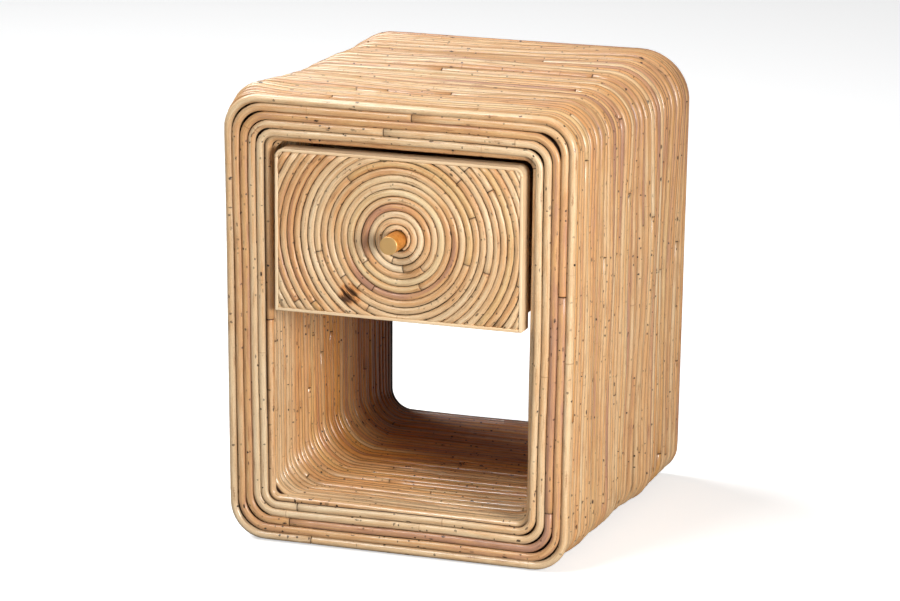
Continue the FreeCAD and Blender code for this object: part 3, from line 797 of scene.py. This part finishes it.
# canes inside each other within the first and the last hoop
rims = {
    "layers": 4, "shades": (0.5, 0.62, 0.32, 0.27), "shadeSpread": 0.05,
    "tighter": 0.005, "tighterBack": 0.003, "bottomGrowth": 0.004,
    "leastRadius": 0.006, "radiusSpread": 0.003, "unevenness": 0.0022, "drift": 0.0006,
    "cane": {"radius": 0.00448, "thickness": (0.97, 1.03), "step": 0.026, "gap": 0.0005,
             "lengths": (0.5, 1.5), "knuckles": (0.08, 0.24), "scorched": 0.03, "warmth": 0.14},
}


def rimPath(stretches, depth, seed, dice):
    begin = dice.uniform(0, 1)
    total = sum(stretchLength(s) for s in stretches)

    def path(distance):
        place, heading, outward = ringSpot(stretches, distance + begin * total)
        swell = ripple(place.x * 6, place.y * 6, seed) * rims["unevenness"]
        drift = ripple(place.x * 10, place.y * 10, seed + 9) * rims["drift"]
        place = place + outward * swell
        spot = Vector((leanOut(place.x, place.y), depth + drift, place.y))
        return spot, upright(heading), upright(outward)

    return path, total


def makeRim(name, number, side, replaced, seed):
    dice = random.Random(seed)
    cane = rims["cane"]
    depth = hoopDepth(number)
    part = share(depth)
    top = hoops["topFront"] + (hoops["topBack"] - hoops["topFront"]) * part
    low = hoops["bottom"] + rims["bottomGrowth"] * part
    spread = rims["radiusSpread"]
    bm = startCanes()
    for layer in range(1, rims["layers"] + 1):
        offset = layer * table["rimPitch"] + cane["radius"]
        tighter = rims["tighter"] + (rims["tighterBack"] - rims["tighter"]) * part
        drop = layer * tighter + cane["radius"]
        radii = [max(rims["leastRadius"], r - drop + dice.uniform(-spread, spread))
                 for r in (top, low, low, top)]
        flare = flareAt(depth) * (1 - layer / rims["layers"])
        half = table["half"] + flare - offset
        stretches = ringOutline(half, table["low"] + offset, table["high"] - offset, radii)
        path, total = rimPath(stretches, depth, seed + layer * 0.13, dice)
        shaded = {**cane, "shade": (rims["shades"][layer - 1], rims["shadeSpread"])}
        layCane(bm, facing(path, lambda outward: side), total, shaded, dice)
    addPiece(name, bm, canes["rimCane"], "carcase", replaced)


rims["cane"]["zones"] = [(Vector((0.185, table["front"], 0.25)), 0.2, 0.14)]
makeRim("front_rim", 0, Vector((0, -1, 0)), [f"front_rim_cane_{n}" for n in range(2, 6)], 21)
makeRim("back_rim", hoops["count"] - 1, Vector((0, 1, 0)), ["back_rim_canes"], 22)
print("rims are laid")


# hoops that line the hollow
lining = {
    "offset": 0.0456, "radiusEnd": 0.018, "radiusBack": 0.024, "radiusMiddle": 0.050,
    "lip": 0.0055, "lipSpread": 0.012, "lipShade": (0.46, 0.05),
    "lipForward": 0.0012, "lipRadii": (0.016, 0.017, 0.012, 0.013), "endTurn": 0.8,
    # painted shade: towards the back the lining is painted darker and warmer
    "deepPaintedShade": 0.58, "deepPaintedWarmth": 0.4, "deepPaintedWarmest": 0.85,
    "unevenness": 0.0026, "drift": 0.0016, "jitter": 0.001,
    "cane": {"radius": 0.00452, "thickness": (0.95, 1.05), "step": 0.026, "gap": 0.0005,
             "lengths": (0.5, 1.5), "knuckles": (0.1, 0.26), "scorched": 0.015, "shade": (0.29, 0.1),
             "warmth": 0.26},
}
lining["cane"]["zones"] = [(Vector((0.16, table["front"], 0.3)), 0.12, -0.26)]


def makeLining():
    dice = random.Random(31)
    cane = lining["cane"]
    bm = startCanes()
    for number in range(1, hoops["count"] - 1):
        depth = hoopDepth(number)
        part = share(depth)
        lip = lining["lip"] * bell(depth - hoopDepth(1), lining["lipSpread"])
        inner = lining["offset"] + lip
        offset = inner - cane["radius"]
        end = lining["radiusEnd"] + part * (lining["radiusBack"] - lining["radiusEnd"])
        radius = end + (lining["radiusMiddle"] - end) * math.sin(math.pi * part) + cane["radius"]
        front = number == 1
        radii = lining["lipRadii"] if front else [radius] * 4
        forward = lining["lipForward"] if front else 0.0
        depth -= forward
        offset -= forward
        stretches = ringOutline(table["half"] - offset, table["low"] + offset, table["high"] - offset, radii)
        path, total = hoopPath(stretches, depth, lining, 5, dice)
        # painted shade, darker and warmer deeper in the hollow
        shade = (cane["shade"][0] + lining["deepPaintedShade"] * part ** 2, cane["shade"][1])
        dark = {**cane, "shade": lining["lipShade"] if front else shade,
                "warmth": cane["warmth"] + part * lining["deepPaintedWarmth"],
                "warmest": part * lining["deepPaintedWarmest"]}
        edge = number in (1, hoops["count"] - 2)
        turn = -lining["endTurn"] if front else lining["endTurn"]
        path = facing(path, diagonally(-1, turn) if edge else lambda outward: -outward)
        layCane(bm, path, total, dark, dice, hoops["cornerSpread"] if edge else 1.0)
    addPiece("lining_hoops", bm, canes["liningCane"], "carcase",
             ["lining_cane_hoops", "proud_lining_hoops"])


makeLining()
print("lining is laid")


# where the drawer's front and its knob are
drawerMiddle = Vector((0, panelLow.y, (panelLow.z + panelHigh.z) / 2))
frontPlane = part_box("front_edging_bottom")[0].y
knobLow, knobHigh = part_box("knob")
knobRadius = (knobHigh.x - knobLow.x) / 2

inlay = {
    "pitch": 0.0078, "drift": 0.00035, "sunk": 0.0004, "corner": 0.0065,
    "start": 0.0145, "hug": 0.0004, "tip": 0.36, "from": -1.05, "dip": 0.00025,
    "cane": {"radius": 0.00382, "thickness": (0.97, 1.02), "step": 0.02, "gap": 0.0004,
             "lengths": (0.09, 0.5), "knuckles": (0.07, 0.22), "scorched": 0.0, "shade": (0.31, 0.09),
             "warmth": 0.24},
}
inlay["cane"]["arcs"] = [(drawerMiddle, *arc) for arc in (
    (0.0385, 140, 85, 0.34), (0.0625, 0, 50, 0.62), (0.0615, -105, 55, 0.62),
    (0.031, -60, 60, -0.2), (0.095, 20, 40, 0.16),
)]
inlay["cane"]["burns"] = [(drawerMiddle + Vector((-0.0555, frontPlane - panelLow.y, -0.0655)), 0.0085)]


def spiralTurn(distance):
    # how far round the winding has come after a length of cane, as if it began at a reach of start
    start = inlay["start"]
    pitch = inlay["pitch"]
    return (math.sqrt(start ** 2 + pitch * distance / math.pi) - start) * 2 * math.pi / pitch


def spiralEdges(turn):
    # how far out the cane's two sides are; the first winding is a thin tip that hugs the knob
    outer = knobRadius + inlay["hug"] + inlay["pitch"] * (inlay["tip"] + turn / (2 * math.pi))
    return max(knobRadius + inlay["hug"], outer - inlay["pitch"]), outer


def spiralWidth(distance):
    inner, outer = spiralEdges(spiralTurn(distance))
    return (outer - inner) / inlay["pitch"]


def spiralPath():
    # anticlockwise outwards, seen from the front
    def path(distance):
        turn = spiralTurn(distance)
        inner, outer = spiralEdges(turn)
        reach = (inner + outer) / 2
        wander = ripple(math.cos(turn) * 1.3, math.sin(turn) * 1.3, reach * 45)
        reach += wander * inlay["drift"] * min(2.0, turn / 3)
        angle = inlay["from"] + turn
        outward = Vector((math.cos(angle), 0, math.sin(angle)))
        heading = Vector((-math.sin(angle), 0, math.cos(angle)))
        dip = ripple(turn * 0.8, reach * 200, 4) * inlay["dip"]
        depth = frontPlane + inlay["cane"]["radius"] * spiralWidth(distance) + inlay["sunk"]
        spot = outward * reach + Vector((0, depth + abs(dip), drawerMiddle.z))
        return spot, heading, Vector((0, -1, 0))

    farthest = Vector((panelHigh.x, panelHigh.z - drawerMiddle.z)).length + inlay["pitch"]
    return path, math.pi / inlay["pitch"] * (farthest ** 2 - inlay["start"] ** 2)


def cutToField(bm):
    # trims the winding square with the edging
    sides = [
        ((panelLow.x, 0, 0), (-1, 0, 0)), ((panelHigh.x, 0, 0), (1, 0, 0)),
        ((0, 0, panelLow.z), (0, 0, -1)), ((0, 0, panelHigh.z), (0, 0, 1)),
    ]
    corner = inlay["corner"] * (2 - math.sqrt(2)) / 2  # a flat across the rounded top corners
    for side in (-1, 1):
        at = (side * (panelHigh.x - corner), 0, panelHigh.z - corner)
        sides.append((at, (side, 0, 1)))
    for point, normal in sides:
        geometry = list(bm.verts) + list(bm.edges) + list(bm.faces)
        cut = bmesh.ops.bisect_plane(bm, geom=geometry, plane_co=point, plane_no=normal, clear_outer=True)
        openEdges = [g for g in cut["geom_cut"] if isinstance(g, bmesh.types.BMEdge) and g.is_boundary]
        bmesh.ops.holes_fill(bm, edges=openEdges, sides=0)


def makeInlay():
    dice = random.Random(44)
    bm = startCanes()
    path, length = spiralPath()
    layCane(bm, path, length, inlay["cane"], dice, taper=spiralWidth)
    cutToField(bm)
    addPiece("spiral_inlay", bm, canes["inlayCane"], "drawer", ["spiral_cane_inlay"])


makeInlay()
print("inlay is wound")


# timber, brass, steel and nylon
def makeTimberGroup():
    # Place is the object position with the grain laid along X; Plies is how dark its layers across Y are
    tree, into = newGroup(
        "timberSurface",
        [("Place", "NodeSocketVector", None), ("Light", "NodeSocketColor", (1, 1, 1, 1)),
         ("Dark", "NodeSocketColor", (0, 0, 0, 1)), ("Plies", "NodeSocketFloat", 0.0),
         ("Ply", "NodeSocketFloat", 1.5)],
    )
    rings = cloudy(tree, stretch(tree, into["Place"], (3.0, 60.0, 60.0)), 4.0, 0.6)
    figure = cloudy(tree, stretch(tree, into["Place"], (14.0, 420.0, 420.0)), 4.0, 0.65)
    pores = cloudy(tree, stretch(tree, into["Place"], (130.0, 3200.0, 3200.0)), 2.0, 0.5)
    amount = plus(tree, times(tree, rings, 0.6), times(tree, figure, 0.5), True)
    colour = blendColour(tree, between(tree, amount, 0.35, 0.75), into["Light"], into["Dark"])
    pore = between(tree, pores, 0.62, 0.74)
    colour = blendColour(tree, times(tree, pore, 0.35), colour, into["Dark"])
    depth = split(tree, into["Place"])["Y"]
    layer = plus(tree, maths(tree, "DIVIDE", depth, into["Ply"]), swing(tree, rings, 0.3))
    layer = maths(tree, "FRACT", layer)
    dark = between(tree, maths(tree, "ABSOLUTE", maths(tree, "SUBTRACT", layer, 0.5)), 0.2, 0.3)
    colour = blendColour(tree, times(tree, dark, into["Plies"]), colour, into["Dark"])
    darkMask = cloudy(tree, stretch(tree, into["Place"], (9.0, 9.0, 9.0)), 3.0)
    darkMask = times(tree, between(tree, darkMask, 0.5, 0.8), 0.18)
    colour = blendColour(tree, darkMask, colour, into["Dark"])
    rough = between(tree, figure, 0.2, 0.8, 0.5, 0.68)
    height = maths(tree, "SUBTRACT", times(tree, figure, 0.7), times(tree, pore, 0.5))
    return finishGroup(tree, colour, rough, height)


timberGroup = makeTimberGroup()


def timberMaterial(name, settings):
    material, tree, shader = newMaterial(name, settings.get("coat", 0.05), coatRoughness=0.3, specular=0.4)
    place = objectPlace(tree)
    turned = addNode(tree, "ShaderNodeMapping", {"Vector": place})
    turned.inputs["Rotation"].default_value = [math.radians(angle) for angle in settings["turn"]]
    turned.inputs["Location"].default_value = settings.get("shift", (0.0, 0.0, 0.0))
    made = useGroup(tree, timberGroup, {
        "Place": turned.outputs[0], "Light": settings["light"], "Dark": settings["dark"],
        "Plies": settings.get("plies", 0.0), "Ply": settings.get("ply", 0.003),
    })
    finishMaterial(tree, shader, made, strength=0.3, distance=0.0003)
    return material


plywood = {"light": paint(224, 190, 144), "dark": paint(176, 132, 84), "plies": 0.35, "ply": 0.003}
paleEdging = {"light": paint(254, 231, 194), "dark": paint(231, 194, 148), "coat": 0.15}
grainAlong = {"x": (0, 0, 0), "y": (0, 0, -90), "z": (0, 90, 0)}
timbers = {
    "edgingAcross": {"turn": grainAlong["x"], **paleEdging},
    "edgingUpright": {"turn": grainAlong["z"], **paleEdging},
    "boardAlong": {"turn": grainAlong["y"], **plywood},
    "boardAcross": {"turn": grainAlong["x"], **plywood},
    # dark brown backing, a painted shade that shows through the gaps between canes
    "paintedShadePly": {"turn": grainAlong["y"], "light": paint(92, 56, 30), "dark": paint(46, 26, 14)},
    "paintedShadeTimber": {"turn": grainAlong["y"], "light": paint(98, 60, 32), "dark": paint(44, 25, 13)},
    "hardwood": {"turn": grainAlong["y"], "light": paint(206, 160, 112), "dark": paint(150, 102, 62),
                 "coat": 0.1},
}
woods = {name: timberMaterial(name, settings) for name, settings in timbers.items()}


def brassMaterial(settings):
    material, tree, shader = newMaterial("satinBrass", coat=0.05, coatRoughness=0.25, metallic=0.7)
    place = objectPlace(tree)
    centred = addNode(tree, "ShaderNodeMapping", {"Vector": place})
    centred.inputs["Location"].default_value = (0, 0, -drawerMiddle.z)
    parts = split(tree, centred.outputs[0])
    flat = combine(tree, parts["X"], parts["Z"])
    reach = addNode(tree, "ShaderNodeVectorMath", {0: flat}, operation="LENGTH").outputs["Value"]
    outwards = times(tree, reach, settings["turning"][0])
    inwards = times(tree, parts["Y"], settings["turning"][1])
    turned = combine(tree, outwards, inwards)
    lathe = cloudy(tree, turned, 2.0)
    wear = cloudy(tree, stretch(tree, centred.outputs[0], (260.0, 260.0, 260.0)), 3.0)
    colour = blendColour(tree, between(tree, wear, 0.35, 0.75), settings["bright"], settings["dull"])
    # painted reflection: the end is given a paler colour than the deep amber side
    onEnd = maths(tree, "LESS_THAN", parts["Y"], knobLow.y + settings["rounding"])
    colour = blendColour(tree, onEnd, colour, settings["end"])
    rough = plus(tree, between(tree, lathe, 0.3, 0.7, 0.36, 0.48), times(tree, wear, 0.1))
    made = {"Color": colour, "Roughness": rough, "Height": lathe}
    finishMaterial(tree, shader, made, strength=0.12, distance=0.0001)
    return material


def plainMaterial(name, light, dark, roughness, metallic=0.0):
    # moulded or plated surface: a fine mottle in colour, gloss and height
    material, tree, shader = newMaterial(name, metallic=metallic)
    place = objectPlace(tree)
    mottle = cloudy(tree, stretch(tree, place, (300.0, 300.0, 300.0)), 4.0)
    fine = cloudy(tree, stretch(tree, place, (2600.0, 2600.0, 2600.0)), 2.0)
    colour = blendColour(tree, between(tree, mottle, 0.35, 0.7), light, dark)
    rough = between(tree, mottle, 0.2, 0.8, roughness - 0.08, roughness + 0.1)
    made = {"Color": colour, "Roughness": rough, "Height": fine}
    finishMaterial(tree, shader, made, strength=0.2, distance=0.0001)
    return material


# the side's deep amber is a painted reflection of the warm cane around it, and the pale end a painted
# reflection of the room in front; bright and dull mottle with wear
brass = brassMaterial({
    "bright": paint(244, 180, 92), "dull": paint(228, 154, 66), "end": paint(255, 208, 138),
    "rounding": 0.0005, "turning": (9000.0, 5000.0),  # where the end's colour stops; lathe marks per metre
})
nylon = plainMaterial("nylon", paint(214, 206, 190), paint(186, 176, 158), 0.5)
zinc = plainMaterial("zinc", paint(196, 198, 200), paint(150, 152, 156), 0.32, 1.0)
print("timber, brass, nylon and zinc are made")


# boards and strips are softened copies of the frame's solids
softened = {"merge": 2e-6, "flat": math.radians(1), "sharp": math.radians(30), "segments": 2}


def softCopy(name, node, material, body, width):
    bm = bmesh.new()
    bm.from_mesh(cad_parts[node].data)
    bmesh.ops.remove_doubles(bm, verts=bm.verts, dist=softened["merge"])
    bmesh.ops.dissolve_limit(bm, angle_limit=softened["flat"], verts=bm.verts, edges=bm.edges)
    sharp = [e for e in bm.edges if len(e.link_faces) == 2 and e.calc_face_angle() > softened["sharp"]]
    for face in bm.faces:
        face.smooth = False
    made = bmesh.ops.bevel(bm, geom=sharp, offset=width, offset_type="OFFSET", segments=softened["segments"],
                           profile=0.5, affect="EDGES", material=-1, clamp_overlap=True)
    for face in made["faces"]:
        face.smooth = True
    addPiece(name, bm, material, body, [node])


edgings = {"top": "Across", "bottom": "Across", "left": "Upright", "right": "Upright"}
boards = [(f"edging_{side}", f"front_edging_{side}", "edging" + lies, "drawer", "pale_edging", 0.0009)
          for side, lies in edgings.items()]
boards += [(name, node, wood, "drawer", "plywood", width) for name, node, wood, width in (
    ("front_board", "drawer_front_panel", "boardAcross", 0.0004),
    ("side_board_left", "drawer_side_left", "boardAlong", 0.0006),
    ("side_board_right", "drawer_side_right", "boardAlong", 0.0006),
    ("back_board", "drawer_back", "boardAcross", 0.0006),
    ("bottom_board", "drawer_bottom", "boardAlong", 0.0003),
)]
boards += [(name, node, "hardwood", "carcase", "solid_timber", 0.0009) for name, node in (
    ("runner_left", "runner_strip_left"), ("runner_right", "runner_strip_right"),
    ("stop_blocks", "drawer_stop_blocks"),
)]
for name, node, wood, body, slotName, width in boards:
    softCopy(name, node, woods[wood], body, width)
softCopy("glides", "floor_glides", nylon, "carcase", 0.0005)
softCopy("screw", "knob_screw", zinc, "drawer", 0.0003)

# skins, battens and posts behind the cane take the dark backing, a painted shade in the gaps between canes
for node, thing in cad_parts.items():
    if "skin" in node or "batten" in node or "post" in node:
        for socket in thing.material_slots:
            socket.material = woods["paintedShadePly" if "skin" in node else "paintedShadeTimber"]
print("boards are softened")


# the knob's rounded edge and dished end
knob = {"edge": 0.0007, "edgeSteps": 3, "turns": 64, "dish": 0.0002}


def makeKnob():
    # a half profile spun about the knob's own axis, its end face very slightly dished
    bm = bmesh.new()
    tip = knobLow.y
    foot = knobHigh.y
    profile = [(0.0, tip + knob["dish"]), (knobRadius * 0.5, tip + knob["dish"] * 0.5)]
    for step in range(knob["edgeSteps"] + 1):
        turn = step / knob["edgeSteps"] * math.pi / 2
        profile.append((knobRadius - knob["edge"] + knob["edge"] * math.sin(turn),
                        tip + knob["edge"] - knob["edge"] * math.cos(turn)))
    profile += [(knobRadius, tip + (foot - tip) * 0.5), (knobRadius, foot), (0.0, foot)]
    verts = [bm.verts.new((reach, y, drawerMiddle.z)) for reach, y in profile]
    edges = [bm.edges.new(pair) for pair in zip(verts, verts[1:])]
    bmesh.ops.spin(bm, geom=verts + edges, cent=(0, 0, drawerMiddle.z), axis=(0, 1, 0), angle=2 * math.pi,
                   steps=knob["turns"], use_merge=True)
    bmesh.ops.remove_doubles(bm, verts=bm.verts, dist=1e-6)
    bmesh.ops.recalc_face_normals(bm, faces=bm.faces)
    for face in bm.faces:
        face.smooth = True
    addPiece("turned_knob", bm, brass, "drawer", ["knob"])


makeKnob()
print("knob is turned")
